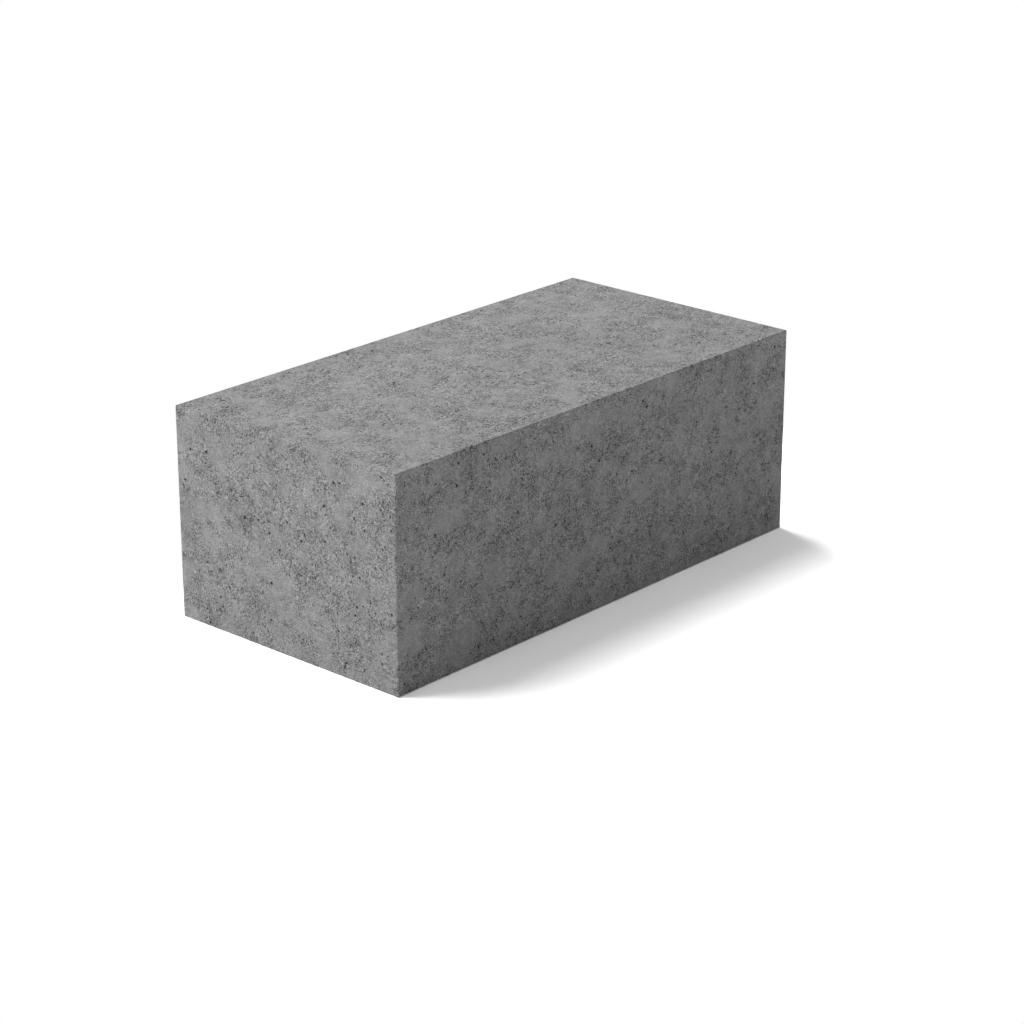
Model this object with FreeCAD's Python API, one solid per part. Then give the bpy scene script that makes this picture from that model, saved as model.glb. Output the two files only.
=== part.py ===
# A flush road kerb unit: one block of plain concrete, pressed in a steel mould and laid in line on a
# concrete bed, with its top level with the paving. It is cast in one piece, so it is one solid.
#
# Frame: the origin is the middle of the bed face, on the ground. X runs along the kerb line, Y across
# it from the road face to the backing face, and Z up. All sizes are in millimetres.
import FreeCAD, Part
import os

# Overall size of the unit, as it is sold.
LENGTH = 400.0
WIDTH = 200.0
HEIGHT = 150.0

# The mould leaves every arris crisp, eased only by this radius.
ARRIS_RADIUS = 1.0

PARTS_FOLDER = "parts"


def centred_block(length, width, height):
    """A square-edged block that stands on the ground, centred on the origin in plan."""
    corner = FreeCAD.Vector(-length / 2, -width / 2, 0)
    return Part.makeBox(length, width, height, corner)


def ease_arrises(block, radius):
    """The block with all of its edges rounded to one radius."""
    return block.makeFillet(radius, block.Edges)


def kerb_block():
    """The whole kerb unit: the pressed block with its eased arrises."""
    return ease_arrises(centred_block(LENGTH, WIDTH, HEIGHT), ARRIS_RADIUS)


def export(name, shape):
    """Writes one sub-part as parts/NAME.step, where NAME is its node."""
    shape.exportStep(os.path.join(PARTS_FOLDER, name + ".step"))


os.makedirs(PARTS_FOLDER, exist_ok=True)
export("kerb_block", kerb_block())
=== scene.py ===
import math
import random

import bpy
import numpy as np
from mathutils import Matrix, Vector, noise
from mathutils.geometry import delaunay_2d_cdt


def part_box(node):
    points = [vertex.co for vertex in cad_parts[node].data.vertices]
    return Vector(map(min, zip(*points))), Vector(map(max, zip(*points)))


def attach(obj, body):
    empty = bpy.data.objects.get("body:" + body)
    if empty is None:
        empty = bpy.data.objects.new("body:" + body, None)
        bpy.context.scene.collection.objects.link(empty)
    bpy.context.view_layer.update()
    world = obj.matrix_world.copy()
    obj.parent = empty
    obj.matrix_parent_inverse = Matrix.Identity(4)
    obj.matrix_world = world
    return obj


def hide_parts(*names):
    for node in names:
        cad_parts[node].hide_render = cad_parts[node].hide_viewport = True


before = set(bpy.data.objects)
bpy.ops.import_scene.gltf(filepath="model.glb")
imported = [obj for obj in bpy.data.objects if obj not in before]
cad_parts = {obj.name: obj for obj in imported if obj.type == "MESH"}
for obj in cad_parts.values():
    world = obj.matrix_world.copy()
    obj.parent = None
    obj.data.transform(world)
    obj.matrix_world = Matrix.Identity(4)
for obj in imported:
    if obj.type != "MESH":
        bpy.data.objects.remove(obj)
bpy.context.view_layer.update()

NODE = "kerb_block"
MM = 0.001
SEED = 7
X = Vector((1, 0, 0))
Y = Vector((0, 1, 0))
Z = Vector((0, 0, 1))

# ---------------------------------------------------------------- the surface's sizes
ARRIS_RADIUS = 1.0 * MM
ARRIS_STEPS = 4
EDGE_SPACING = 2.0 * MM

# The grid of points inside a face: how far apart they are, and, as shares of that, how far each strays and
# how near the face's border it may lie.
GRID_SPACING = 4.3 * MM
GRID_JITTER = 0.28
GRID_MARGIN = 0.35

# The skin lies below the mould's plane by a slow swell and a finer ripple.
SWELL_SIZE = 42 * MM
SWELL_DEPTH = 0.10 * MM
RIPPLE_SIZE = 11 * MM
RIPPLE_DEPTH = 0.05 * MM
NORMAL_STEP = 0.5 * MM

# The arrises are worn a little everywhere, and nibbled where a noise passes its threshold.
WEAR_SIZE = 3.5 * MM
WEAR_DEPTH = 0.07 * MM
NIBBLE_SIZE = 7 * MM
NIBBLE_SHIFT = Vector((0, 0, 5.5))
NIBBLE_THRESHOLD = 0.40
NIBBLE_DEPTH = 0.7 * MM
BORDER_WEAR = 0.3

# The zones where the surface is rough come from a broad and a small noise about a middle level.
ZONE_LEVEL = 0.70
ZONE_BROAD = 0.65
ZONE_BROAD_SIZE = 24 * MM
ZONE_BROAD_SHIFT = Vector((3.1, 0, 0))
ZONE_SMALL = 0.75
ZONE_SMALL_SIZE = 11 * MM
ZONE_SMALL_SHIFT = Vector((0, 7.7, 0))

# Pores: how many are thrown, the share of that on the underside, how likely one is on the smoothest skin, and
# how many times each may be thrown. The number of pores over a radius falls with that power of the radius.
PORES_PER_M2 = 21500
UNDERSIDE_SHARE = 0.6
SMOOTH_CHANCE = 0.1
PORE_TRIES = 9
PORE_RADIUS = (0.42 * MM, 1.35 * MM)
PORE_SIZE_POWER = 3.0

# How far pores stay from each other, from a face's border and from the grid's points: a share of the radius
# and a distance.
PORE_SPACING = 1.2
PORE_REACH = 1.3
PORE_GAP = 0.3 * MM
PORE_CLEARANCE = 0.9 * MM
PORE_CELL = 3 * MM

# A pore's shape, as shares of its radius, and of its depth for the throat.
PORE_DEPTH = (0.9, 1.5)
PORE_STRETCH = (0.5, 1.0)
RIM_JITTER = (0.72, 1.28)
THROAT_WIDTH = 0.58
THROAT_DEPTH = 0.75
# How dark the throat is, with the floor at 1: painted shade in the pore's hollow, and partly dirt.
THROAT_SHADE_AND_DIRT = 0.7
FLOOR_JITTER = 0.12

# Up to each radius, how many points lie round a pore's rim and round its throat.
PORE_RINGS = ((0.6 * MM, 5, 0), (0.85 * MM, 6, 5), (math.inf, 8, 7))

# Points whose places agree when multiplied by this and rounded are one point.
PLACE_KEY = 1e7
# The triangulation's settings: its output is triangles up to the outline, and its nearness is in mm.
CDT_OUTPUT = 0
CDT_NEARNESS = 1e-7

# A point of sound skin has no depth or darkness of a pore.
SOUND = (0, 0)

MAP_GAP = 4 * MM


# ---------------------------------------------------------------- the map of the faces
def block_faces(size):
    """The six faces with their places on the map: four long ones in a column, and the ends beside it.

    Each has its outward normal, the directions that its map runs in (u cross v is the normal) and the lower
    left corner of its place on the map.
    """
    column = size.x + MAP_GAP
    rows = [0]
    for height in (size.y, size.y, size.z):
        rows.append(rows[-1] + height + MAP_GAP)
    return [
        {"normal": Z, "u": X, "v": Y, "corner": (0, rows[0])},
        {"normal": -Z, "u": X, "v": -Y, "corner": (0, rows[1])},
        {"normal": -Y, "u": X, "v": Z, "corner": (0, rows[2])},
        {"normal": Y, "u": -X, "v": Z, "corner": (0, rows[3])},
        {"normal": -X, "u": Z, "v": Y, "corner": (column, rows[0])},
        {"normal": X, "u": Z, "v": -Y, "corner": (column, rows[1])},
    ]


def map_size(size):
    """The width and height that the six faces take on the map."""
    return size.x + MAP_GAP + size.z, 2 * size.y + 2 * size.z + 3 * MAP_GAP


def face_numbers(faces):
    """From a normal's axis and sign to its face's number."""
    found = {}
    for number, face in enumerate(faces):
        axis = max(range(3), key=lambda k: abs(face["normal"][k]))
        sign = 1 if face["normal"][axis] > 0 else -1
        found[axis, sign] = number
    return found


def write_map(mesh, face_maps, faces, places, centre, size):
    """Lays each face flat on its own part of the map, at one scale."""
    layer = mesh.uv_layers.new(name="OFBake")
    full = np.array(size)
    number = np.repeat(np.array(face_maps), [len(p.vertices) for p in mesh.polygons])
    vertex = np.empty(len(mesh.loops), np.int32)
    mesh.loops.foreach_get("vertex_index", vertex)
    uv = np.empty((len(vertex), 2))
    for n, face in enumerate(faces):
        chosen = number == n
        for k, direction in enumerate((face["u"], face["v"])):
            direction = np.array(direction)
            offset = places[vertex[chosen]] - np.array(centre)
            uv[chosen, k] = offset @ direction + np.abs(direction) @ full / 2 + face["corner"][k]
    uv /= map_size(size)
    layer.data.foreach_set("uv", uv.astype(np.float32).ravel())


# ---------------------------------------------------------------- fields over the surface
def positive_noise(place):
    """Smooth noise about 0.5, from 0 to 1."""
    return 0.5 + 0.5 * noise.noise(place)


def rough_zone(point):
    """From 0 where cement skin covers the sand to 1 where the surface is open and grainy."""
    broad = noise.noise(point / ZONE_BROAD_SIZE + ZONE_BROAD_SHIFT)
    small = noise.noise(point / ZONE_SMALL_SIZE + ZONE_SMALL_SHIFT)
    value = ZONE_LEVEL + ZONE_BROAD * broad + ZONE_SMALL * small
    value = min(1, max(0, value))
    return value * value * (3 - 2 * value)


def unevenness(point):
    """How far the skin of the block lies below the mould's plane."""
    swell = positive_noise(point / SWELL_SIZE)
    ripple = positive_noise(point / RIPPLE_SIZE)
    return SWELL_DEPTH * swell + RIPPLE_DEPTH * ripple


def arris_wear(point):
    """How far an arris is worn back: a little everywhere, and more at a few nibbles."""
    worn = positive_noise(point / WEAR_SIZE)
    nibble = max(0, noise.noise(point / NIBBLE_SIZE + NIBBLE_SHIFT) - NIBBLE_THRESHOLD)
    return WEAR_DEPTH * worn + NIBBLE_DEPTH * nibble


def skin_normal(place, normal, depth):
    """The normal of the uneven skin, from how its depth changes one step away along the surface."""
    across = normal.orthogonal().normalized()
    along = normal.cross(across)
    rise = []
    for direction in (across, along):
        rise.append((unevenness(place + direction * NORMAL_STEP) - depth) / NORMAL_STEP)
    return (normal + across * rise[0] + along * rise[1]).normalized()


# ---------------------------------------------------------------- the pores
class PoreField:
    """Pores placed at random on one face, apart from each other."""

    def __init__(self, width, height, rng):
        self.width = width
        self.height = height
        self.rng = rng
        self.cells = {}
        self.pores = []

    def cell(self, x, y):
        """The square of the face that a point is in, which makes pores near it quick to find."""
        return int(x // PORE_CELL), int(y // PORE_CELL)

    def near(self, x, y):
        i, j = self.cell(x, y)
        for a in (i - 1, i, i + 1):
            for b in (j - 1, j, j + 1):
                yield from self.cells.get((a, b), ())

    def covers(self, x, y):
        """Whether a point is in a pore or too near one for a point of the grid."""
        for px, py, radius in self.near(x, y):
            if math.hypot(x - px, y - py) < radius * PORE_REACH + PORE_CLEARANCE:
                return True
        return False

    def try_pore(self, x, y, radius):
        edge = radius * PORE_REACH + PORE_GAP
        if abs(x) > self.width / 2 - edge or abs(y) > self.height / 2 - edge:
            return False
        for ox, oy, other in self.near(x, y):
            if math.hypot(x - ox, y - oy) < PORE_SPACING * (radius + other) + PORE_GAP:
                return False
        self.cells.setdefault(self.cell(x, y), []).append((x, y, radius))
        self.pores.append((x, y, radius))
        return True

    def fill(self, count, place_of):
        """Throws that many pores. Each lands more readily where the surface is rough."""
        smallest, largest = PORE_RADIUS
        for _ in range(count):
            share = self.rng.random()
            radius = min(largest, smallest * (1 - share) ** (-1 / PORE_SIZE_POWER))
            for _ in range(PORE_TRIES):
                x = (self.rng.random() - 0.5) * self.width
                y = (self.rng.random() - 0.5) * self.height
                chance = SMOOTH_CHANCE + (1 - SMOOTH_CHANCE) * rough_zone(place_of(x, y))
                if self.rng.random() > chance:
                    continue
                if self.try_pore(x, y, radius):
                    break


def ring_counts(radius):
    """How many points lie round a pore's rim and round its throat."""
    for limit, rim, throat in PORE_RINGS:
        if radius < limit:
            return rim, throat


def add_pore(points, pore, rng):
    """Adds a pore's rim, throat and floor to a face's points: (x, y, depth, darkness), the darkness being
    painted shade in the hollow and partly dirt.
    """
    x, y, radius = pore
    rim, throat = ring_counts(radius)
    depth = radius * rng.uniform(*PORE_DEPTH)
    stretch = rng.uniform(*PORE_STRETCH)
    lean = rng.uniform(0, math.pi)
    turn = rng.uniform(0, 2 * math.pi)

    def ring(count, share, down, dark, offset):
        for i in range(count):
            angle = turn + 2 * math.pi * (i + offset) / count
            reach = radius * share * rng.uniform(*RIM_JITTER)
            along = reach * math.cos(angle)
            across = reach * math.sin(angle) * stretch
            px = x + along * math.cos(lean) - across * math.sin(lean)
            py = y + along * math.sin(lean) + across * math.cos(lean)
            points.append((px, py, down, dark))

    ring(rim, 1.0, 0.0, 0.0, 0)
    ring(throat, THROAT_WIDTH, THROAT_DEPTH * depth, THROAT_SHADE_AND_DIRT, 0.5)
    floor_x = x + radius * rng.uniform(-FLOOR_JITTER, FLOOR_JITTER)
    floor_y = y + radius * rng.uniform(-FLOOR_JITTER, FLOOR_JITTER)
    points.append((floor_x, floor_y, depth, 1.0))


# ---------------------------------------------------------------- the mesh
class Surface:
    """Points on the mould's plane with their outward normals, and the faces between them."""

    def __init__(self):
        self.places = []
        self.normals = []
        self.pore = []
        self.wear = []
        self.own_normal = []
        self.faces = []
        self.face_maps = []

    def add(self, place, normal, pore, wear, own_normal):
        """pore is (depth, darkness) below the skin, and own_normal is for points of a flat skin."""
        self.places.append(tuple(place))
        self.normals.append(tuple(normal))
        self.pore.append(pore)
        self.wear.append(wear)
        self.own_normal.append(own_normal)
        return len(self.places) - 1


def stations(length):
    """Evenly spaced places along an arris, from one corner's round to the other's."""
    half = length / 2 - ARRIS_RADIUS
    count = max(2, round(2 * half / EDGE_SPACING))
    return [-half + 2 * half * i / count for i in range(count + 1)]


def border_points(span):
    """Points round a flat face, where its arrises start."""
    along = stations(span[0])
    across = stations(span[1])
    border = [(x, y) for x in along for y in (across[0], across[-1])]
    border += [(x, y) for y in across[1:-1] for x in (along[0], along[-1])]
    return border


def inner_points(pores, rng):
    """Points inside a flat face: a jittered triangular grid that leaves room for the pores, and the pores."""
    points = []
    width = pores.width
    height = pores.height
    rows = round(height / (GRID_SPACING * math.sqrt(3) / 2))
    columns = round(width / GRID_SPACING)
    for j in range(1, rows):
        for i in range(columns + 1):
            x = -width / 2 + width * (i + (0.5 if j % 2 else 0)) / columns
            y = -height / 2 + height * j / rows
            x += rng.uniform(-GRID_JITTER, GRID_JITTER) * GRID_SPACING
            y += rng.uniform(-GRID_JITTER, GRID_JITTER) * GRID_SPACING
            if abs(x) > width / 2 - GRID_MARGIN * GRID_SPACING:
                continue
            if abs(y) > height / 2 - GRID_MARGIN * GRID_SPACING:
                continue
            if pores.covers(x, y):
                continue
            points.append((x, y, 0.0, 0.0))
    for pore in pores.pores:
        add_pore(points, pore, rng)
    return points


def clockwise(a, b, c):
    """Whether a triangle's corners run clockwise on its face's map."""
    return (b[0] - a[0]) * (c[1] - a[1]) < (b[1] - a[1]) * (c[0] - a[0])


def add_flat_face(surface, face, number, centre, size, rng):
    """One flat face up to its arrises, triangulated between its pores."""
    u = face["u"]
    v = face["v"]
    normal = face["normal"]
    span = [sum(abs(direction[k]) * size[k] for k in range(3)) for direction in (u, v, normal)]
    middle = centre + normal * (span[2] / 2)

    def place_of(x, y):
        return middle + u * x + v * y

    width = span[0] - 2 * ARRIS_RADIUS
    height = span[1] - 2 * ARRIS_RADIUS
    pores = PoreField(width, height, rng)
    share = UNDERSIDE_SHARE if normal.z < 0 else 1
    pores.fill(round(PORES_PER_M2 * share * width * height), place_of)
    inner = inner_points(pores, rng)
    border = border_points(span)
    points = [(x, y, 0, 0) for x, y in border] + inner
    index = []
    for i, (x, y, down, dark) in enumerate(points):
        wear = BORDER_WEAR if i < len(border) else 0
        index.append(surface.add(place_of(x, y), normal, (down, dark), wear, down == 0))

    flat = [Vector(point[:2]) / MM for point in points]
    _, _, triangles, sources, _, _ = delaunay_2d_cdt(flat, [], [], CDT_OUTPUT, CDT_NEARNESS, True)
    for triangle in triangles:
        ids = [sources[corner][0] for corner in triangle]
        if clockwise(*(points[i] for i in ids)):
            ids.reverse()
        surface.faces.append([index[i] for i in ids])
        surface.face_maps.append(number)


def unit(axis, sign):
    """A vector along an axis, as long as sign says."""
    direction = Vector((0, 0, 0))
    direction[axis] = sign
    return direction


def add_arris(surface, numbers, axis, signs, centre, size):
    """One rounded arris along an axis, between the faces on its two signs."""
    b = (axis + 1) % 3
    c = (axis + 2) % 3
    core = centre + unit(b, signs[0] * (size[b] / 2 - ARRIS_RADIUS))
    core += unit(c, signs[1] * (size[c] / 2 - ARRIS_RADIUS))
    rows = []
    for along in stations(size[axis]):
        row = []
        for k in range(ARRIS_STEPS + 1):
            normal = (unit(b, signs[0] * (ARRIS_STEPS - k)) + unit(c, signs[1] * k)).normalized()
            place = core + unit(axis, along) + normal * ARRIS_RADIUS
            on_face = k in (0, ARRIS_STEPS)
            row.append(surface.add(place, normal, SOUND, BORDER_WEAR if on_face else 1, on_face))
        rows.append(row)
    for one, two in zip(rows, rows[1:]):
        for k in range(ARRIS_STEPS):
            quad = [one[k], two[k], two[k + 1], one[k + 1]]
            if signs[0] * signs[1] > 0:
                quad.reverse()
            surface.faces.append(quad)
            beside = (b, signs[0]) if k < ARRIS_STEPS / 2 else (c, signs[1])
            surface.face_maps.append(numbers[beside])


def corner_triangles():
    """The triangles between the points of a corner's round, each point given by its steps to two faces."""
    triangles = []
    for i in range(ARRIS_STEPS):
        for j in range(ARRIS_STEPS - i):
            triangles.append([(i, j), (i + 1, j), (i, j + 1)])
            if i + j < ARRIS_STEPS - 1:
                triangles.append([(i + 1, j), (i + 1, j + 1), (i, j + 1)])
    return triangles


def add_corner(surface, numbers, signs, centre, size):
    """One rounded corner, where three arrises meet."""
    core = centre + Vector(signs[k] * (size[k] / 2 - ARRIS_RADIUS) for k in range(3))
    index = {}
    for i in range(ARRIS_STEPS + 1):
        for j in range(ARRIS_STEPS + 1 - i):
            k = ARRIS_STEPS - i - j
            normal = Vector((signs[0] * i, signs[1] * j, signs[2] * k)).normalized()
            place = core + normal * ARRIS_RADIUS
            on_face = ARRIS_STEPS in (i, j, k)
            index[i, j] = surface.add(place, normal, SOUND, BORDER_WEAR if on_face else 1, on_face)
    for triangle in corner_triangles():
        ids = [index[t] for t in triangle]
        if signs[0] * signs[1] * signs[2] < 0:
            ids.reverse()
        toward_face = sum((Vector(surface.normals[t]) for t in ids), Vector())
        axis = max(range(3), key=lambda n: abs(toward_face[n]))
        surface.faces.append(ids)
        surface.face_maps.append(numbers[axis, signs[axis]])


def merged(surface):
    """The surface's arrays and faces, with the points that two stretches share made one."""
    keys = np.round(np.array(surface.places) * PLACE_KEY).astype(np.int64)
    _, first, same = np.unique(keys, axis=0, return_index=True, return_inverse=True)
    same = same.ravel()
    faces = [[int(same[i]) for i in face] for face in surface.faces]
    points = {}
    for name in ("places", "normals", "pore", "wear", "own_normal"):
        points[name] = np.array(getattr(surface, name))[first]
    return points, faces


def block_surface(size, centre, faces):
    """The flat faces, arrises and corners, before any relief."""
    rng = random.Random(SEED)
    surface = Surface()
    numbers = face_numbers(faces)
    for number, face in enumerate(faces):
        add_flat_face(surface, face, number, centre, size, rng)
    for axis in range(3):
        for signs in ((1, 1), (1, -1), (-1, 1), (-1, -1)):
            add_arris(surface, numbers, axis, signs, centre, size)
    for sx in (1, -1):
        for sy in (1, -1):
            for sz in (1, -1):
                add_corner(surface, numbers, (sx, sy, sz), centre, size)
    return surface


def set_normals(mesh, points, skin):
    """Smooth normals on arrises and in pores, and the skin's own on the flats, so pores don't dent them."""
    normals = np.empty(len(mesh.vertices) * 3, np.float32)
    mesh.vertex_normals.foreach_get("vector", normals)
    normals = normals.reshape(-1, 3)
    for i in np.flatnonzero(points["own_normal"]):
        normals[i] = skin_normal(Vector(points["places"][i]), Vector(points["normals"][i]), skin[i])
    mesh.normals_split_custom_set_from_vertices(normals.tolist())


def build_block(size, centre):
    """The block's mesh, with its zones and pores as attributes and each face flat on the map."""
    faces = block_faces(size)
    surface = block_surface(size, centre, faces)
    points, polygons = merged(surface)

    skin = []
    zones = []
    wear = []
    for row, weight in zip(points["places"], points["wear"]):
        place = Vector(row)
        skin.append(unevenness(place))
        zones.append(rough_zone(place))
        wear.append(weight * arris_wear(place) if weight else 0)
    depth = np.array(skin) + np.array(wear) + points["pore"][:, 0]
    final = points["places"] - points["normals"] * depth[:, None]

    mesh = bpy.data.meshes.new(NODE + "_concrete")
    mesh.from_pydata(final.tolist(), [], polygons)
    mesh.polygons.foreach_set("use_smooth", [True] * len(mesh.polygons))
    # The pore attribute holds each point's darkness in a pore, which the material paints as shade in the
    # hollow and partly as dirt.
    for name, values in (("zone", zones), ("pore", points["pore"][:, 1])):
        attribute = mesh.attributes.new(name, "FLOAT", "POINT")
        attribute.data.foreach_set("value", np.array(values, np.float32))
    write_map(mesh, surface.face_maps, faces, points["places"], centre, size)
    set_normals(mesh, points, skin)
    mesh.validate()
    return mesh


# ---------------------------------------------------------------- the material
# The concrete's grey, which the patterns vary, and the darkest that they may make it, as a share.
GREY = 0.297
DARKEST = 0.12
SPECULAR_LEVEL = 0.25

# Moves the patterns, so that no face lies on one of the planes through the middle where noise is flat.
PATTERN_SHIFT = (0.0131, 0.0173, 0.0137)
# The middle of what a noise or a cell's random number gives, from 0 to 1.
MIDDLE = 0.5

# The mottling and the sand grain are patterns of falling sizes. Each has its size, how much it changes the
# colour, how much of it is left where cement skin covers the sand, and its height in the relief.
PATTERNS = (
    (37 * MM, 0.22, 1.0, 0),
    (18 * MM, 0.28, 1.0, 0),
    (9 * MM, 0.34, 0.85, 0),
    (4.4 * MM, 0.42, 0.6, 0.45 * MM),
    (2.2 * MM, 0.60, 0.5, 0.34 * MM),
    (1.2 * MM, 1.05, 0.42, 0.30 * MM),
    (0.75 * MM, 1.70, 0.42, 0.20 * MM),
)

# Single grains: cells of one size, each with a colour of its own, and how much is left under cement skin.
GRAIN_SIZE = 1.0 * MM
GRAIN_SHADE = 0.62
GRAIN_LEFT = 0.35

# Small films of cement skin inside the rough zones: where their noise makes them start and be whole, and how
# much they smooth.
FILM_SIZE = 8 * MM
FILM_EDGE = (0.58, 0.66)
FILM_COVER = 0.6

# Rough zones are darker than the average zone by this much.
ZONE_AVERAGE = 0.7
ZONE_SHADE = -0.14

# Flecks are round spots in some cells: the cells' size, a spot's radius where it is whole and where it ends,
# in cells, and the cells' random numbers from which there is a faint spot and a whole one.
SAND = {"size": 1.6 * MM, "whole": 0.22, "end": 0.42, "faint": 0.62, "full": 0.8}
# Specks are small pits sunk in the relief. Their darker colour is partly dirt and partly painted shade in the
# pits.
SPECK = {"size": 2.0 * MM, "whole": 0.2, "end": 0.38, "faint": 0.5, "full": 0.72}
# Specks need a rough zone, and crowd together in patches.
SPECK_ZONE = (0.1, 0.8)
CROWD_SIZE = 13 * MM
CROWD_EDGE = (0.38, 0.62)
CROWD_RANGE = (0.4, 1.1)

# Lines run where a noise crosses its middle: the noise's size, how far from the middle a line ends, the size
# of the patches that have lines, and where their noise makes them start and be whole.
# Creases are sunken grooves, and their darker colour is painted shade in them.
CREASE = {"size": 3.2 * MM, "width": 0.055, "patch": 11 * MM, "edge": (0.42, 0.58)}
HAIRLINE = {"size": 15 * MM, "width": 0.014, "patch": 12 * MM, "edge": (0.55, 0.62)}

# Each mark's change of colour and its height in the relief.
MARKS = {
    "sand": (0.75, 0.12 * MM),
    # A speck's darkening is partly dirt and partly painted shade in its sunken pit.
    "speck": (-0.46, -0.20 * MM),
    # A crease's darkening is painted shade in its sunken groove.
    "crease": (-0.13, -0.20 * MM),
    "hairline": (-0.12, -0.08 * MM),
}

# The darkness of a pore's attribute at which its colour is darkest, and the share of the grey that is left.
# This darkening is painted shade in the pore's hollow, and partly its dirt.
PORE_DARKEST_AT = 0.6
PORE_SHADE = 0.15

ROUGHNESS = 0.86
ROUGHNESS_BY_ZONE = 0.06
ROUGHNESS_BY_NOISE = 0.08
ROUGHNESS_SIZE = 3 * MM


class Nodes:
    """Short ways to add nodes to a material and link them."""

    def __init__(self, tree):
        self.tree = tree
        shifted = tree.nodes.new("ShaderNodeVectorMath")
        self.put(shifted.inputs[0], tree.nodes.new("ShaderNodeTexCoord").outputs["Object"])
        self.put(shifted.inputs[1], PATTERN_SHIFT)
        self.place = shifted.outputs[0]

    def put(self, socket, value):
        """Links a socket to another, or sets it to a plain value."""
        if isinstance(value, bpy.types.NodeSocket):
            self.tree.links.new(value, socket)
        else:
            socket.default_value = value

    def attribute(self, name):
        node = self.tree.nodes.new("ShaderNodeAttribute")
        node.attribute_name = name
        return node.outputs["Fac"]

    def noise(self, size):
        """Smooth noise without finer detail, from 0 to 1."""
        node = self.tree.nodes.new("ShaderNodeTexNoise")
        self.put(node.inputs["Vector"], self.place)
        self.put(node.inputs["Scale"], 1 / size)
        self.put(node.inputs["Detail"], 0)
        return node.outputs["Fac"]

    def cells(self, size):
        """The distance to the nearest cell's centre, in cells, and that cell's random colour."""
        node = self.tree.nodes.new("ShaderNodeTexVoronoi")
        self.put(node.inputs["Vector"], self.place)
        self.put(node.inputs["Scale"], 1 / size)
        return node.outputs["Distance"], node.outputs["Color"]

    def math(self, operation, a, b=0.0):
        node = self.tree.nodes.new("ShaderNodeMath")
        node.operation = operation
        self.put(node.inputs[0], a)
        self.put(node.inputs[1], b)
        return node.outputs[0]

    def ramp(self, value, low, high, start=0.0, end=1.0):
        """A smooth step of value from low to high, which gives start to end."""
        node = self.tree.nodes.new("ShaderNodeMapRange")
        node.interpolation_type = "SMOOTHSTEP"
        self.put(node.inputs["Value"], value)
        self.put(node.inputs["From Min"], low)
        self.put(node.inputs["From Max"], high)
        self.put(node.inputs["To Min"], start)
        self.put(node.inputs["To Max"], end)
        return node.outputs[0]

    def total(self, *parts):
        result = parts[0]
        for part in parts[1:]:
            result = self.math("ADD", result, part)
        return result

    def product(self, *parts):
        result = parts[0]
        for part in parts[1:]:
            result = self.math("MULTIPLY", result, part)
        return result

    def centred(self, value):
        """A noise or a random number moved to lie about 0."""
        return self.math("SUBTRACT", value, MIDDLE)

    def flecks(self, size, whole, end, faint, full):
        distance, colour = self.cells(size)
        return self.product(self.ramp(distance, whole, end, 1, 0), self.ramp(colour, faint, full))

    def lines(self, size, width, patch, edge):
        away = self.math("ABSOLUTE", self.centred(self.noise(size)))
        return self.product(self.ramp(away, 0, width, 1, 0), self.ramp(self.noise(patch), *edge))


def surface_zone(n):
    """The mesh's rough zones, less the small films of cement skin."""
    film = n.ramp(n.noise(FILM_SIZE), *FILM_EDGE)
    return n.product(n.attribute("zone"), n.math("SUBTRACT", 1.0, n.product(film, FILM_COVER)))


def surface_marks(n, zone):
    """Where there are sand grains, dark specks, creases and hairlines, each from 0 to about 1."""
    crowd = n.ramp(n.noise(CROWD_SIZE), *CROWD_EDGE, *CROWD_RANGE)
    return {
        "sand": n.product(n.flecks(**SAND), zone),
        "speck": n.product(n.flecks(**SPECK), n.ramp(zone, *SPECK_ZONE), crowd),
        "crease": n.product(n.lines(**CREASE), zone),
        "hairline": n.lines(**HAIRLINE),
    }


def shade_and_height(n, zone):
    """How light the concrete is, about 1, and how high its fine relief stands."""
    shade = [1.0]
    height = []
    for size, amount, left, rise in PATTERNS:
        pattern = n.centred(n.noise(size))
        if left < 1:
            pattern = n.product(pattern, n.ramp(zone, 0, 1, left, 1))
        shade.append(n.product(pattern, amount))
        if rise:
            height.append(n.product(pattern, rise))
    shade.append(n.product(n.math("SUBTRACT", zone, ZONE_AVERAGE), ZONE_SHADE))
    _, grain_colour = n.cells(GRAIN_SIZE)
    grain = n.product(n.centred(grain_colour), n.ramp(zone, 0, 1, GRAIN_LEFT, 1))
    shade.append(n.product(grain, GRAIN_SHADE))
    for name, mark in surface_marks(n, zone).items():
        amount, rise = MARKS[name]
        shade.append(n.product(mark, amount))
        height.append(n.product(mark, rise))
    return n.total(*shade), n.total(*height)


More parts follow.
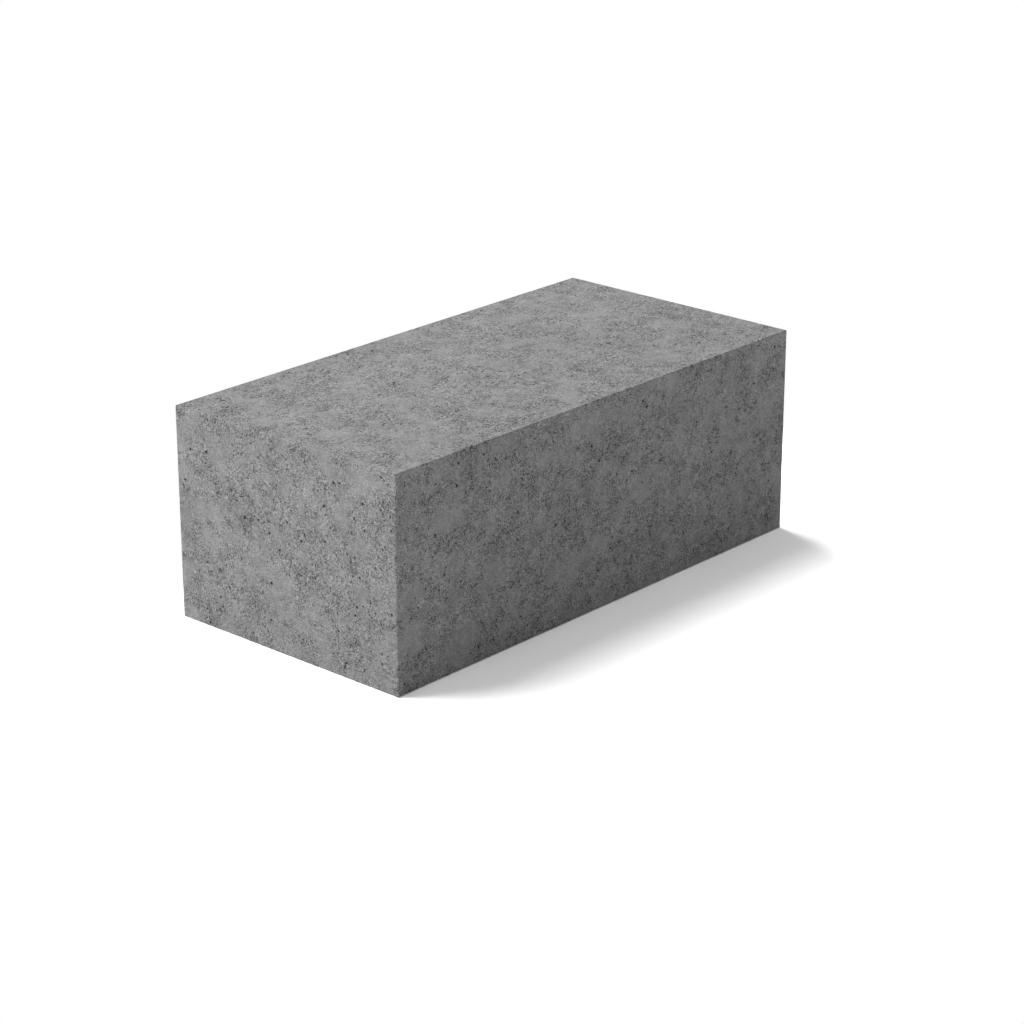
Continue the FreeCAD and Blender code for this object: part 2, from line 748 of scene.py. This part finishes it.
def concrete():
    """Grey concrete: smooth under cement skin, and grainy elsewhere with sand and small pores, whose colour
    is darkened partly as dirt and partly as painted shade.
    """
    material = bpy.data.materials.new("concrete")
    material.use_nodes = True
    tree = material.node_tree
    shader = tree.nodes["Principled BSDF"]
    n = Nodes(tree)
    zone = surface_zone(n)
    shade, height = shade_and_height(n, zone)

    # Pores darken the colour: painted shade in their hollows, and partly dirt.
    pore = n.ramp(n.attribute("pore"), 0, PORE_DARKEST_AT, 1, PORE_SHADE)
    lightness = n.math("MAXIMUM", n.product(shade, pore), DARKEST)
    n.put(shader.inputs["Base Color"], n.product(lightness, GREY))
    by_zone = n.product(zone, ROUGHNESS_BY_ZONE)
    by_noise = n.product(n.noise(ROUGHNESS_SIZE), ROUGHNESS_BY_NOISE)
    n.put(shader.inputs["Roughness"], n.total(ROUGHNESS, by_zone, by_noise))
    shader.inputs["Specular IOR Level"].default_value = SPECULAR_LEVEL

    bump = tree.nodes.new("ShaderNodeBump")
    bump.inputs["Strength"].default_value = 1
    bump.inputs["Distance"].default_value = 1
    n.put(bump.inputs["Height"], height)
    n.put(shader.inputs["Normal"], bump.outputs["Normal"])
    return material


# ---------------------------------------------------------------- the studio
# Angles are in degrees, and azimuth and elevation are as toward() takes them. A spread is the angle that a
# light fills as the object sees it. At a level of 1, a surface that faces the light shows its colour as it is
# written.
KEY_AZIMUTH = 198.2
KEY_ELEVATION = 48.3
KEY_SPREAD = 61.0
KEY_DISTANCE = 3.1
KEY_LEVEL = 0.98
FILL_AZIMUTH = 302.0
FILL_ELEVATION = 0.5
FILL_SPREAD = 10.0
FILL_LEVEL = 0.341
SKY_LEVEL = 0.155

# The floor lights the object as a pale floor of its colour. Where it is seen, a higher one turns it white
# away from the object, and leaves the shadow. Half a side of it is FLOOR_HALF.
FLOOR_COLOUR = 0.88
FLOOR_SEEN = 3.3
FLOOR_HALF = 4.0
# The oval of floor that the shadow reaches. Outside it, and wholly from this many times its size, the floor
# shows as plain white, which keeps the object's outline smooth against it.
SHADED_CENTRE = Vector((0.04, -0.08, 0))
SHADED_REACH = Vector((0.30, 0.20, 1))
SHADED_FADE = 1.3

# The camera is that far from the point that it looks at, and its lens is in mm.
CAMERA_AZIMUTH = -48.22
CAMERA_ELEVATION = 20.85
CAMERA_DISTANCE = 1.930
CAMERA_AIM = Vector((-0.0530, -0.0648, 0.075))
CAMERA_LENS = 102.24

WHITE = (1, 1, 1, 1)


def toward(azimuth, elevation):
    """The direction from the object to something at that azimuth (0 is -Y, 90 is +X) and elevation."""
    a = math.radians(azimuth)
    e = math.radians(elevation)
    return Vector((math.sin(a) * math.cos(e), -math.cos(a) * math.cos(e), math.sin(e)))


def add_facing(name, data, azimuth, elevation, centre, distance):
    """Adds a camera or lamp that far from a centre, facing it."""
    piece = bpy.data.objects.new(name, data)
    back = toward(azimuth, elevation)
    piece.location = centre + back * distance
    piece.rotation_mode = "QUATERNION"
    piece.rotation_quaternion = back.to_track_quat("Z", "Y")
    bpy.context.scene.collection.objects.link(piece)
    return piece


def add_camera():
    data = bpy.data.cameras.new("camera")
    data.lens = CAMERA_LENS
    camera = add_facing("camera", data, CAMERA_AZIMUTH, CAMERA_ELEVATION, CAMERA_AIM, CAMERA_DISTANCE)
    bpy.context.scene.camera = camera


def add_key():
    """A round soft lamp."""
    lamp = bpy.data.lights.new("key", "AREA")
    radius = KEY_DISTANCE * math.tan(math.radians(KEY_SPREAD / 2))
    lamp.shape = "DISK"
    lamp.size = 2 * radius
    lamp.energy = math.pi * KEY_LEVEL * math.pi * (radius * radius + KEY_DISTANCE * KEY_DISTANCE)
    disc = add_facing("key", lamp, KEY_AZIMUTH, KEY_ELEVATION, Vector(), KEY_DISTANCE)
    disc.visible_camera = False


def add_fill():
    """A far soft light, almost level with the floor."""
    lamp = bpy.data.lights.new("fill", "SUN")
    lamp.angle = math.radians(FILL_SPREAD)
    lamp.energy = math.pi * FILL_LEVEL
    add_facing("fill", lamp, FILL_AZIMUTH, FILL_ELEVATION, Vector(), 0)


def seen_directly(tree):
    """1 for what the camera sees, itself or in a mirror or through glass, and 0 for light on things."""
    rays = tree.nodes.new("ShaderNodeLightPath").outputs
    total = rays["Is Camera Ray"]
    for name in ("Is Glossy Ray", "Is Transmission Ray"):
        node = tree.nodes.new("ShaderNodeMath")
        node.operation = "ADD"
        node.use_clamp = True
        tree.links.new(total, node.inputs[0])
        tree.links.new(rays[name], node.inputs[1])
        total = node.outputs[0]
    return total


def level_by_ray(tree, seen, lighting, shown):
    """A level for the light that a surface sends to things, and another for how it shows."""
    level = tree.nodes.new("ShaderNodeMapRange")
    level.inputs["To Min"].default_value = lighting
    level.inputs["To Max"].default_value = shown
    tree.links.new(seen, level.inputs["Value"])
    return level.outputs[0]


def add_world():
    """An even pale sky, which shows as plain white."""
    world = bpy.data.worlds.new("studio")
    world.use_nodes = True
    bpy.context.scene.world = world
    tree = world.node_tree
    background = tree.nodes["Background"]
    background.inputs["Color"].default_value = WHITE
    level = level_by_ray(tree, seen_directly(tree), SKY_LEVEL, 1)
    tree.links.new(level, background.inputs["Strength"])


def vector_step(tree, operation, value, amount=None):
    """A vector node's outputs, for a linked vector and, where it takes one, a plain one."""
    node = tree.nodes.new("ShaderNodeVectorMath")
    node.operation = operation
    tree.links.new(value, node.inputs[0])
    if amount:
        node.inputs[1].default_value = amount
    return node.outputs


def outside_shade(tree, seen):
    """0 inside the oval that the shadow reaches, and 1 well outside it where the floor is seen."""
    place = tree.nodes.new("ShaderNodeTexCoord").outputs["Object"]
    offset = vector_step(tree, "SUBTRACT", place, SHADED_CENTRE)["Vector"]
    scaled = vector_step(tree, "DIVIDE", offset, SHADED_REACH)["Vector"]
    ovals = vector_step(tree, "LENGTH", scaled)["Value"]
    outside = tree.nodes.new("ShaderNodeMapRange")
    outside.interpolation_type = "SMOOTHSTEP"
    outside.inputs["From Min"].default_value = 1
    outside.inputs["From Max"].default_value = SHADED_FADE
    tree.links.new(ovals, outside.inputs["Value"])
    tree.links.new(seen, outside.inputs["To Max"])
    return outside.outputs[0]


def floor_material():
    material = bpy.data.materials.new("floor")
    material.use_nodes = True
    tree = material.node_tree
    tree.nodes.remove(tree.nodes["Principled BSDF"])
    seen = seen_directly(tree)
    diffuse = tree.nodes.new("ShaderNodeBsdfDiffuse")
    tree.links.new(level_by_ray(tree, seen, FLOOR_COLOUR, FLOOR_SEEN), diffuse.inputs["Color"])
    white = tree.nodes.new("ShaderNodeEmission")
    white.inputs["Color"].default_value = WHITE
    white.inputs["Strength"].default_value = 1
    mix = tree.nodes.new("ShaderNodeMixShader")
    tree.links.new(outside_shade(tree, seen), mix.inputs[0])
    tree.links.new(diffuse.outputs[0], mix.inputs[1])
    tree.links.new(white.outputs[0], mix.inputs[2])
    tree.links.new(mix.outputs[0], tree.nodes["Material Output"].inputs["Surface"])
    return material


def add_floor():
    """A plain pale floor, which shows as white outside the object's shadow."""
    half = FLOOR_HALF
    corners = [(-half, -half, 0), (half, -half, 0), (half, half, 0), (-half, half, 0)]
    mesh = bpy.data.meshes.new("floor")
    mesh.from_pydata(corners, [], [(0, 1, 2, 3)])
    mesh.materials.append(floor_material())
    floor = bpy.data.objects.new("floor", mesh)
    bpy.context.scene.collection.objects.link(floor)


# ---------------------------------------------------------------- the scene
low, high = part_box(NODE)
block = bpy.data.objects.new("concrete_block", build_block(high - low, (low + high) / 2))
bpy.context.scene.collection.objects.link(block)
block.data.materials.append(concrete())
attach(block, "root")
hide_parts(NODE)

add_camera()
add_key()
add_fill()
add_world()
add_floor()
bpy.context.scene.view_settings.view_transform = "Standard"
